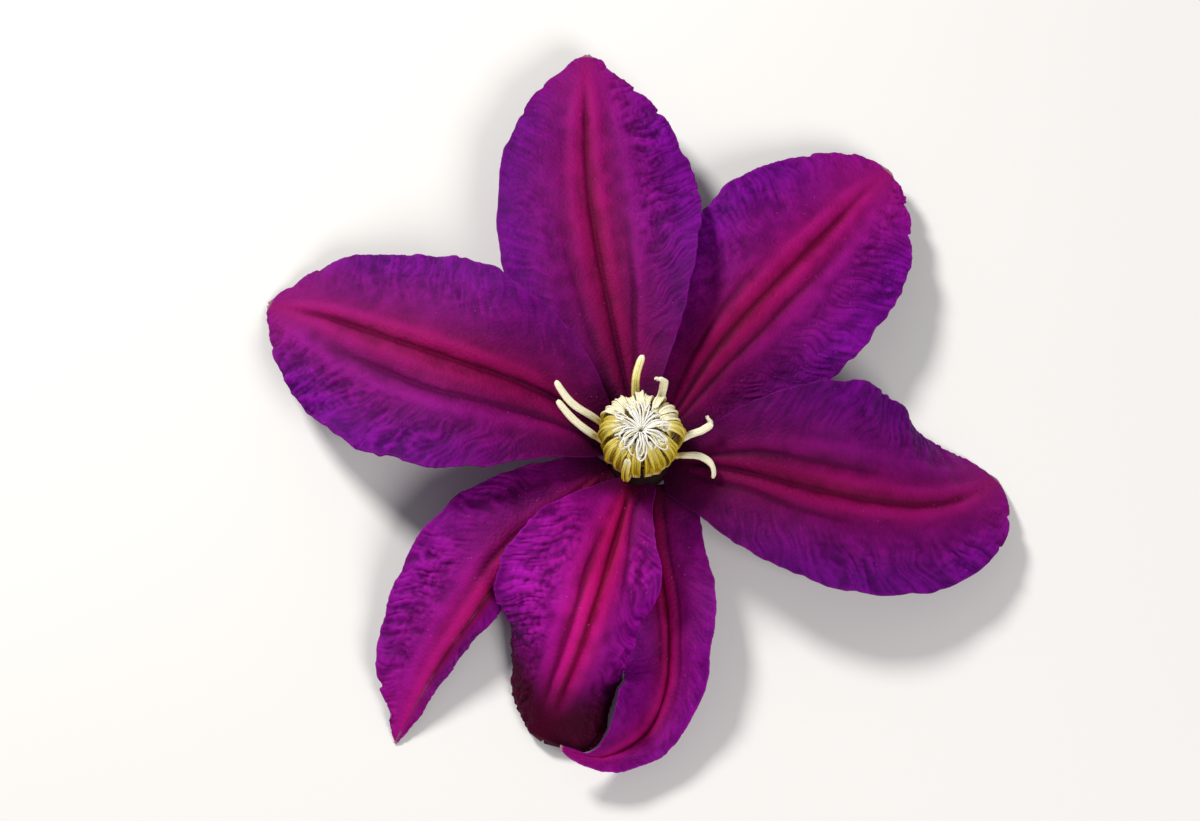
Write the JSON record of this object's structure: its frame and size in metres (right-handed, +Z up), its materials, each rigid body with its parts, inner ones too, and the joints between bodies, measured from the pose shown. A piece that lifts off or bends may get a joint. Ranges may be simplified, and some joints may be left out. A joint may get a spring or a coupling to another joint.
{
  "type": "clematis flower",
  "caption": "Large open clematis flower lying face up: broad pointed tepals with a red central bar round a tight boss of cream stamens and curling styles, on a short bent stalk.",
  "frame": {"origin": "centre of the bounding box's bottom, on the surface the flower lies on", "axes": "+Z up, the way the flower faces; +Y towards the tip of the long top tepal, under which the stalk runs; +X to the right-hand tepal"},
  "size_m": [0.1394, 0.1434, 0.027],
  "materials": {
    "tepals": "satin",
    "stamens": "satin",
    "styles": "satin",
    "carpels": "matte",
    "receptacle": "matte",
    "stalk": "matte"
  },
  "bodies": {
    "root": {"carpels": "carpels", "free_stamen_back": "stamens", "free_stamen_back_hooked": "stamens", "free_stamen_front": "stamens", "free_stamen_left_lower": "stamens", "free_stamen_left_upper": "stamens", "free_stamen_right_lower": "stamens", "free_stamen_right_upper": "stamens", "inner_stamen_01": "stamens", "inner_stamen_02": "stamens", "inner_stamen_03": "stamens", "inner_stamen_04": "stamens", "inner_stamen_05": "stamens", "inner_stamen_06": "stamens", "inner_stamen_07": "stamens", "inner_stamen_08": "stamens", "inner_stamen_09": "stamens", "inner_stamen_10": "stamens", "outer_stamen_01": "stamens", "outer_stamen_02": "stamens", "outer_stamen_03": "stamens", "outer_stamen_04": "stamens", "outer_stamen_05": "stamens", "outer_stamen_06": "stamens", "outer_stamen_07": "stamens", "outer_stamen_08": "stamens", "outer_stamen_09": "stamens", "outer_stamen_10": "stamens", "outer_stamen_11": "stamens", "outer_stamen_12": "stamens", "outer_stamen_13": "stamens", "outer_stamen_14": "stamens", "outer_stamen_15": "stamens", "outer_stamen_16": "stamens", "receptacle": "receptacle", "stalk": "stalk", "style_01": "styles", "style_02": "styles", "style_03": "styles", "style_04": "styles", "style_05": "styles", "style_06": "styles", "style_07": "styles", "style_08": "styles", "style_09": "styles", "style_10": "styles", "style_11": "styles", "style_12": "styles", "style_13": "styles", "style_14": "styles", "style_15": "styles", "style_16": "styles", "tepal_left": "tepals", "tepal_lower": "tepals", "tepal_lower_left": "tepals", "tepal_lower_right": "tepals", "tepal_right": "tepals", "tepal_top": "tepals", "tepal_upper_right": "tepals"}
  },
  "joints": []
}
